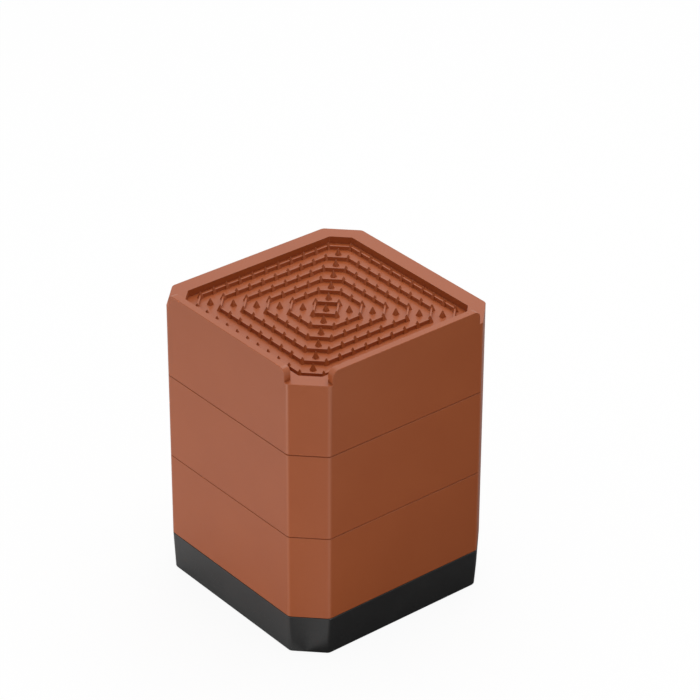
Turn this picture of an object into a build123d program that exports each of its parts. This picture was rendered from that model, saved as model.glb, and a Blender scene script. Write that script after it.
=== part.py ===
from build123d import *
import math
import os

os.makedirs("parts", exist_ok=True)

# Stackable bed riser, eight-sided in plan: a ribbed top block with a sunk tray and two lips,
# two stacking blocks below it, and a rubber foot. Every piece plugs into the one above with
# a raised collar. Millimetres, +Z up, origin on the floor at the middle of the footprint.
# The lips stand on the -Y and +X sides.

# Outside of the stack
body_width = 134.6         # across two flat sides
corner_leg = 15.6          # how far each corner flat cuts back along its two sides
upright_round = 3.5        # rounding of the outer upright edges
block_height = 50.8        # one step of the stack, with the lips on the top block
seam_height = 0.5          # shadow line left at the bottom of each block
seam_depth = 0.8
edge_bevel = 0.2           # on the outline of each piece, at its top

# Hollow underside of the blocks
wall = 3.2
plate = 4.0                # top plate of a stacking block
rib_thickness = 2.0
rib_spacing = 19.4

# Collar that locates each piece in the one above
collar_height = 6.0
collar_thickness = 3.0
collar_bevel = 0.6
fit_clearance = 0.25       # left free between the collar and what is round it

# Rubber foot
foot_height = 23.2
foot_lean = 1.0            # how far its sides come in by the floor
foot_ledge = 2.5           # rubber left inside the collar's line
foot_rib = 4.0
sole_thickness = 6.0
sole_round = 1.2
groove_pitch = 17.7
groove_width = 2.0
groove_depth = 1.2

# Lips on two adjoining sides of the top block
lip_height = 7.9
lip_thickness = 4.2
lip_end_gap = 2.0          # from the corner flat to the end of a lip
lip_end_round = 4.0

# Tray and its tread: ridges along rings of a square grid, a small point on every grid place
rim_width = 9.9
tray_depth = 4.2
tray_floor = 3.2
tray_round = 1.0
tread_pitch = 8.77
ridge_width = 0.9
ridge_height = 2.2
point_base = 2.8
point_tip = 0.3
point_height = 3.9

# Levels
middle_base = foot_height + block_height
top_base = middle_base + block_height
lip_top = top_base + block_height
deck_level = lip_top - lip_height
tray_level = deck_level - tray_depth

# Plan positions
half_width = body_width / 2
tray_half = half_width - rim_width
collar_inset = wall + fit_clearance
relief_inset = collar_inset + collar_thickness + fit_clearance
ribs_each_way = int(2 * (half_width - wall) / rib_spacing)
ring_count = int((tray_half - point_base / 2) / tread_pitch)
groove_count = int((half_width - foot_lean - groove_width) / groove_pitch)


def eight_sided(half_side, leg, rounding):
    # Square with its corners cut back by leg; the corners that this leaves are rounded or sharp
    with BuildSketch(mode=Mode.PRIVATE) as outline:
        Rectangle(2 * half_side, 2 * half_side)
        chamfer(outline.vertices(), length=leg)
        if rounding > 0:
            fillet(outline.vertices(), radius=rounding)
    return outline.sketch


def body_outline(inset, rounding=0):
    # Plan of the riser brought in by the same distance on all eight sides
    return eight_sided(half_width - inset, corner_leg - inset * (2 - math.sqrt(2)), rounding)


def ring_band(ring, pitch, width):
    # Closed band through the grid places of one ring; the first is a square turned by 45 degrees
    step = ring - 1
    corners = [
        (ring, -step),
        (ring, step),
        (step, ring),
        (-step, ring),
        (-ring, step),
        (-ring, -step),
        (-step, -ring),
        (step, -ring),
    ]
    with BuildSketch(mode=Mode.PRIVATE) as band:
        with BuildLine():
            Polyline(*[(x * pitch, y * pitch) for x, y in dict.fromkeys(corners)], close=True)
        trace(line_width=width)
    return band.sketch


def crossing_ribs(thickness):
    # Plan of the ribs, both ways, evenly spaced about the middle
    with BuildSketch(mode=Mode.PRIVATE) as ribs:
        with GridLocations(rib_spacing, rib_spacing, ribs_each_way, 1):
            Rectangle(thickness, body_width)
        with GridLocations(rib_spacing, rib_spacing, 1, ribs_each_way):
            Rectangle(body_width, thickness)
    return ribs.sketch


def ribbed_body(height, hollow_height):
    # Body standing at height 0, hollow from below between its ribs, with room for a collar
    with BuildPart() as body:
        with BuildSketch():
            add(body_outline(seam_depth, upright_round))
        extrude(amount=seam_height)
        with BuildSketch(Plane.XY.offset(seam_height)):
            add(body_outline(0, upright_round))
        extrude(amount=height - seam_height)
        chamfer(body.edges().group_by(Axis.Z)[-1], length=edge_bevel)
        with BuildSketch():
            add(body_outline(wall))
            add(crossing_ribs(rib_thickness), mode=Mode.SUBTRACT)
        extrude(amount=hollow_height, mode=Mode.SUBTRACT)
        with BuildSketch():
            add(body_outline(wall))
            add(body_outline(relief_inset), mode=Mode.SUBTRACT)
        extrude(amount=collar_height + fit_clearance, mode=Mode.SUBTRACT)
    return body.part


stacking_body = ribbed_body(block_height, block_height - plate)
top_body = ribbed_body(deck_level - top_base, tray_level - tray_floor - top_base)

# Collar on top of a piece, standing at height 0
with BuildPart() as collar:
    with BuildSketch():
        add(body_outline(collar_inset))
        add(body_outline(collar_inset + collar_thickness), mode=Mode.SUBTRACT)
    extrude(amount=collar_height)
    chamfer(collar.edges().group_by(Axis.Z)[-1], length=collar_bevel)

# Lip on the -Y side; it starts as deep in the rim as the tray
with BuildPart() as lip:
    with BuildSketch(Plane.XZ.offset(half_width)) as lip_side:
        with Locations((0, lip_top)):
            Rectangle(
                body_width - 2 * (corner_leg + lip_end_gap),
                lip_height + tray_depth,
                align=(Align.CENTER, Align.MAX),
            )
        fillet(lip_side.vertices().group_by(Axis.Y)[-1], radius=lip_end_round)
    extrude(amount=-lip_thickness)
    lip_outline = lip.edges().filter_by(Axis.Y, reverse=True)
    chamfer(lip_outline - lip_outline.group_by(Axis.Z)[0], length=edge_bevel)

# Rubber foot: leaning sides, cored from above between ribs that carry the lower block's ribs
with BuildPart() as rubber_foot:
    with BuildSketch(Plane.XY.offset(foot_height)):
        add(body_outline(0))
    extrude(amount=-foot_height, taper=math.degrees(math.atan(foot_lean / foot_height)))
    fillet(rubber_foot.edges().group_by(Axis.Z)[1], radius=upright_round)
    fillet(rubber_foot.edges().group_by(Axis.Z)[0], radius=sole_round)
    chamfer(rubber_foot.edges().group_by(Axis.Z)[-1], length=edge_bevel)
    with BuildSketch(Plane.XY.offset(sole_thickness)):
        add(body_outline(collar_inset + collar_thickness + foot_ledge))
        add(crossing_ribs(foot_rib), mode=Mode.SUBTRACT)
    extrude(amount=foot_height - sole_thickness, mode=Mode.SUBTRACT)
    # Grip grooves in the sole, ringed like the tread in the tray
    with BuildSketch():
        for ring in range(1, groove_count + 1):
            add(ring_band(ring, groove_pitch, groove_width))
    extrude(amount=groove_depth, mode=Mode.SUBTRACT)
    with Locations((0, 0, foot_height)):
        add(collar.part)
rubber_foot.part.label = "rubber_foot"
export_step(rubber_foot.part, "parts/rubber_foot.step")

# Two stacking blocks of one moulding
with BuildPart() as lower_block:
    with Locations((0, 0, foot_height)):
        add(stacking_body)
    with Locations((0, 0, middle_base)):
        add(collar.part)
lower_block.part.label = "lower_block"
export_step(lower_block.part, "parts/lower_block.step")

with BuildPart() as middle_block:
    with Locations((0, 0, middle_base)):
        add(stacking_body)
    with Locations((0, 0, top_base)):
        add(collar.part)
middle_block.part.label = "middle_block"
export_step(middle_block.part, "parts/middle_block.step")

# Top block: rim, sunk tray with its tread, and the two lips
with BuildPart() as top_block:
    with Locations((0, 0, top_base)):
        add(top_body)
    with BuildSketch(Plane.XY.offset(tray_level)):
        add(eight_sided(tray_half, tread_pitch, tray_round))
    extrude(amount=tray_depth, mode=Mode.SUBTRACT)
    with BuildSketch(Plane.XY.offset(tray_level)):
        for ring in range(1, ring_count + 1):
            add(ring_band(ring, tread_pitch, ridge_width))
    extrude(amount=ridge_height)
    # A point stands on every grid place but the four corners, which the tray's flats take
    grid = range(-ring_count, ring_count + 1)
    places = [(x, y) for x in grid for y in grid if abs(x) + abs(y) < 2 * ring_count]
    with BuildSketch(Plane.XY.offset(tray_level)):
        with Locations(*[(x * tread_pitch, y * tread_pitch) for x, y in places]):
            Rectangle(point_base, point_base)
    point_slope = math.degrees(math.atan((point_base - point_tip) / 2 / point_height))
    extrude(amount=point_height, taper=point_slope)
    add(lip.part)
    add(lip.part, rotation=(0, 0, 90))
top_block.part.label = "top_block"
export_step(top_block.part, "parts/top_block.step")
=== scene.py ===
import bpy
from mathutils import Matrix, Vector

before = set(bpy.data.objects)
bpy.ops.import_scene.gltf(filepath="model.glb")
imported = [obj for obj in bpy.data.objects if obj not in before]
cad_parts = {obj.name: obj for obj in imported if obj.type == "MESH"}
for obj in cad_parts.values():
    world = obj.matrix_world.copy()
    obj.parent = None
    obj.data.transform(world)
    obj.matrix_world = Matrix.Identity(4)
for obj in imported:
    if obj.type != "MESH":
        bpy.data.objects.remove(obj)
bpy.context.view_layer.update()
print("frame loaded with", ", ".join(sorted(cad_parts)))


# A shader socket that takes part in sums, which go through Math nodes
class Wire:
    def __init__(self, tree, socket):
        self.tree = tree
        self.socket = socket

    def maths(self, operation, first, second):
        return self.tree.node("ShaderNodeMath", {"operation": operation}, {0: first, 1: second})

    def __add__(self, other):
        return self.maths("ADD", self, other)

    def __radd__(self, other):
        return self.maths("ADD", other, self)

    def __sub__(self, other):
        return self.maths("SUBTRACT", self, other)

    def __rsub__(self, other):
        return self.maths("SUBTRACT", other, self)

    def __mul__(self, other):
        return self.maths("MULTIPLY", self, other)

    def __rmul__(self, other):
        return self.maths("MULTIPLY", other, self)

    def atLeast(self, other):
        return self.maths("MAXIMUM", self, other)


# A node tree that starts empty; every node in it comes from node()
class ShaderTree:
    def __init__(self, owner):
        owner.use_nodes = True
        self.nodes = owner.node_tree.nodes
        self.links = owner.node_tree.links
        self.nodes.clear()

    def node(self, kind, settings=None, values=None, output=0):
        made = self.nodes.new(kind)
        for name, value in (settings or {}).items():
            if name == "stops":
                self.setStops(made.color_ramp, value)
            else:
                setattr(made, name, value)
        for name, value in (values or {}).items():
            if isinstance(value, Wire):
                self.links.new(value.socket, made.inputs[name])
            else:
                made.inputs[name].default_value = value
        return Wire(self, made.outputs[output]) if made.outputs else None

    # Shades along a ramp; the first of them stands at place 0
    def setStops(self, ramp, stops):
        ramp.elements.remove(ramp.elements[-1])
        ramp.elements[0].position = 0
        for place, shade in stops:
            element = ramp.elements.new(place) if place > 0 else ramp.elements[0]
            element.color = (shade, shade, shade, 1)


# Two colours mixed by a factor
def mixColour(tree, factor, first, second):
    settings = {"data_type": "RGBA"}
    return tree.node("ShaderNodeMix", settings, {0: factor, 6: first, 7: second}, output=2)


# Noise on the piece's own coordinates; size is the width of one patch in metres
def grainNoise(tree, place, size, detail):
    values = {"Vector": place, "Scale": 1 / size, "Detail": detail}
    return tree.node("ShaderNodeTexNoise", None, values, output="Fac")


# What every moulded surface ends in: specks vary its roughness and grain its height,
# and its sharp edges shade as if they were slightly rounded
def finishMoulding(tree, look, tone, specks, grain):
    soft = tree.node("ShaderNodeBevel", {"samples": 6}, {"Radius": look["edgeRadius"]})
    bump = tree.node("ShaderNodeBump", None, {
        "Strength": 1.0,
        "Distance": look["grainDepth"],
        "Height": grain,
        "Normal": soft,
    })
    shader = tree.node("ShaderNodeBsdfPrincipled", None, {
        "Base Color": tone,
        "Roughness": look["roughness"] + (specks - 0.5) * look["roughnessSpread"],
        "IOR": look["refraction"],
        "Normal": bump,
    })
    tree.node("ShaderNodeOutputMaterial", None, {"Surface": shader})


terracotta = {
    "colour": (0.360, 0.084, 0.020, 1),
    "deepColour": (0.330, 0.073, 0.017, 1),    # in patches
    "paleColour": (0.400, 0.102, 0.030, 1),    # in specks
    # Painted highlight: a paler tone that stands in for the light strips along the rounded
    # upright edges
    "edgeHighlightColour": (0.402, 0.109, 0.039, 1),    # on the rounded upright edges
    "paleShare": 0.5,         # how strong the pale specks are
    "patchSize": 0.035,
    "speckSize": 0.0012,
    "grainSize": 0.00042,
    "grainDepth": 0.000012,
    "edgeRadius": 0.00015,
    "roughness": 0.36,
    "roughnessSpread": 0.10,
    "refraction": 1.5,
}


def mouldedPlasticMaterial(name, look):
    material = bpy.data.materials.new(name)
    tree = ShaderTree(material)
    place = tree.node("ShaderNodeTexCoord", output="Object")
    patches = grainNoise(tree, place, look["patchSize"], 3)
    specks = grainNoise(tree, place, look["speckSize"], 2)
    grain = grainNoise(tree, place, look["grainSize"], 2)
    tone = mixColour(tree, patches, look["deepColour"], look["colour"])
    tone = mixColour(tree, specks * look["paleShare"] * patches, tone, look["paleColour"])
    # The mask is 0 on the eight flat sides and 1 halfway round each upright edge, where it
    # mixes in a painted highlight
    facing = tree.node("ShaderNodeTexCoord", output="Normal")
    across = tree.node("ShaderNodeSeparateXYZ", None, {"Vector": facing}, output="X")
    along = tree.node("ShaderNodeSeparateXYZ", None, {"Vector": facing}, output="Y")
    edgeHighlightMask = across * along * (across * across - along * along) * 4
    tone = mixColour(tree, edgeHighlightMask * edgeHighlightMask, tone, look["edgeHighlightColour"])
    finishMoulding(tree, look, tone, specks, grain)
    return material


blackRubber = {
    "colour": (0.0120, 0.0120, 0.0120, 1),
    "dustColour": (0.024, 0.0235, 0.023, 1),
    "dustShare": 2,           # how strong the dust is in its patches
    "dustBare": 0.45,         # how much of the rubber is free of it
    "patchSize": 0.02,
    "grainSize": 0.0005,
    "grainDepth": 0.00002,
    "edgeRadius": 0.0005,
    "roughness": 0.30,
    "roughnessSpread": 0.12,
    "refraction": 1.6,
}


def mouldedRubberMaterial(name, look):
    material = bpy.data.materials.new(name)
    tree = ShaderTree(material)
    place = tree.node("ShaderNodeTexCoord", output="Object")
    patches = grainNoise(tree, place, look["patchSize"], 4)
    grain = grainNoise(tree, place, look["grainSize"], 2)
    dust = (patches - look["dustBare"]) * look["dustShare"] * grain
    tone = mixColour(tree, dust, look["colour"], look["dustColour"])
    finishMoulding(tree, look, tone, grain, grain)
    return material


def dress(nodeNames, material):
    for nodeName in nodeNames:
        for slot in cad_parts[nodeName].material_slots:
            slot.material = material


dress(["top_block", "middle_block", "lower_block"],
      mouldedPlasticMaterial("terracottaPlastic", terracotta))
dress(["rubber_foot"], mouldedRubberMaterial("blackRubber", blackRubber))
print("blocks and foot have their finishes")


floorLook = {
    "reach": 3.0,             # half of its side
    "level": -0.0001,         # just under the sole, so that the two never share a plane
    # It is open under the riser, so that the sole gets light
    "holeHalfWidth": 0.0645,
    "holeHalfFlat": 0.0505,   # half of each side along X or Y; the corners are cut back
    "seenColour": (0.98, 0.98, 0.98, 1),    # what the camera sees of it, with the shadow
    "whiteShare": 0.92,       # how far the camera sees it as plain white
    # Pale and dark boards lie round the near corner and only throw light:
    # degrees from +X, and how pale
    "boardCorner": (0.058, -0.061, 0.0),
    "boards": [
        (-180, 0.70), (-141, 0.70), (-125, 0.93), (-105, 0.82), (-86, 0.38),
        (-70, 0.36), (-60, 0.50), (-50, 0.62), (-40, 0.84), (-8, 1.00),
        (15, 0.20), (39, 0.12), (90, 0.12), (130, 0.55), (180, 0.70),
    ],
}


def floorMaterial(look):
    material = bpy.data.materials.new("paleFloor")
    tree = ShaderTree(material)
    place = tree.node("ShaderNodeTexCoord", output="Object")
    fromCorner = tree.node("ShaderNodeVectorMath", {"operation": "SUBTRACT"},
                           {0: place, 1: look["boardCorner"]})
    turn = tree.node("ShaderNodeTexGradient", {"gradient_type": "RADIAL"},
                     {"Vector": fromCorner}, output="Fac")
    stops = [(0.5 + degrees / 360, shade) for degrees, shade in look["boards"]]
    bounce = tree.node("ShaderNodeValToRGB", {"stops": stops}, {"Fac": turn})
    seen = tree.node("ShaderNodeLightPath", output="Is Camera Ray")
    colour = mixColour(tree, seen, bounce, look["seenColour"])
    paint = tree.node("ShaderNodeBsdfDiffuse", None, {"Color": colour})
    white = tree.node("ShaderNodeEmission", None, {"Color": (1, 1, 1, 1), "Strength": 1.0})
    pale = tree.node("ShaderNodeMixShader", None,
                     {0: seen * look["whiteShare"], 1: paint, 2: white})
    # Clear from below, so that the sole can be seen
    below = tree.node("ShaderNodeNewGeometry", output="Backfacing")
    clear = tree.node("ShaderNodeBsdfTransparent")
    both = tree.node("ShaderNodeMixShader", None, {0: below, 1: pale, 2: clear})
    tree.node("ShaderNodeOutputMaterial", None, {"Surface": both})
    return material


def layFloor(look):
    reach = look["reach"]
    hole = look["holeHalfWidth"]
    flat = look["holeHalfFlat"]
    outer = [(-reach, -reach), (reach, -reach), (reach, reach), (-reach, reach)]
    inner = [(-flat, -hole), (flat, -hole), (hole, -flat), (hole, flat),
             (flat, hole), (-flat, hole), (-hole, flat), (-hole, -flat)]
    # On each side a face along the flat, then one at the corner that follows
    faces = []
    for side in range(4):
        corner = (side + 1) % 4
        first, second, third = (4 + (2 * side + step) % 8 for step in range(3))
        faces += [(side, corner, second, first), (corner, third, second)]
    mesh = bpy.data.meshes.new("floor")
    mesh.from_pydata([(x, y, look["level"]) for x, y in outer + inner], [], faces)
    mesh.materials.append(floorMaterial(look))
    floor = bpy.data.objects.new("floor", mesh)
    bpy.context.collection.objects.link(floor)


layFloor(floorLook)
print("floor is laid")


studio = {
    "skyStrength": 0.55,      # full strength where it is seen or mirrored
    "lamps": {
        # Where each hangs, its size and its watts
        "overheadPanel": ((-0.15, 0.3, 1.6), 1.4, 13.8),
        "lowPanel": ((0.0, -0.53, 0.015), 0.08, 0.92),
        "lowSidePanel": ((0.53, 0.08, 0.015), 0.08, 0.52),
    },
    "aim": (0.0, 0.0, 0.09),  # the middle of the riser, where all lamps point
}


def lightStudio(look):
    world = bpy.data.worlds.new("studio")
    bpy.context.scene.world = world
    tree = ShaderTree(world)
    rays = [tree.node("ShaderNodeLightPath", output=kind)
            for kind in ("Is Camera Ray", "Is Glossy Ray", "Is Transmission Ray")]
    seen = rays[0].atLeast(rays[1]).atLeast(rays[2])
    strength = look["skyStrength"] + seen * (1 - look["skyStrength"])
    sky = tree.node("ShaderNodeBackground", None, {"Color": (1, 1, 1, 1), "Strength": strength})
    tree.node("ShaderNodeOutputWorld", None, {"Surface": sky})
    for name, (place, size, watts) in look["lamps"].items():
        lamp = bpy.data.lights.new(name, "AREA")
        lamp.shape = "DISK"
        lamp.size = size
        lamp.energy = watts
        holder = bpy.data.objects.new(name, lamp)
        holder.location = place
        facing = Vector(look["aim"]) - Vector(place)
        holder.rotation_euler = facing.to_track_quat("-Z", "Y").to_euler()
        bpy.context.collection.objects.link(holder)


lightStudio(studio)
print("sky and lamps are set")


camera = {
    "place": (1.10099, -0.88532, 0.97189),
    "turn": (1.03825, -0.00353, 0.88660),   # Euler angles in radians
    "lens": 157.55,
    "sensor": 36.0,
}


def setCamera(look):
    shape = bpy.data.cameras.new("camera")
    shape.lens = look["lens"]
    shape.sensor_width = look["sensor"]
    holder = bpy.data.objects.new("camera", shape)
    holder.location = look["place"]
    holder.rotation_euler = look["turn"]
    bpy.context.collection.objects.link(holder)
    bpy.context.scene.camera = holder


setCamera(camera)
bpy.context.scene.view_settings.view_transform = "Standard"
print("camera is in place")
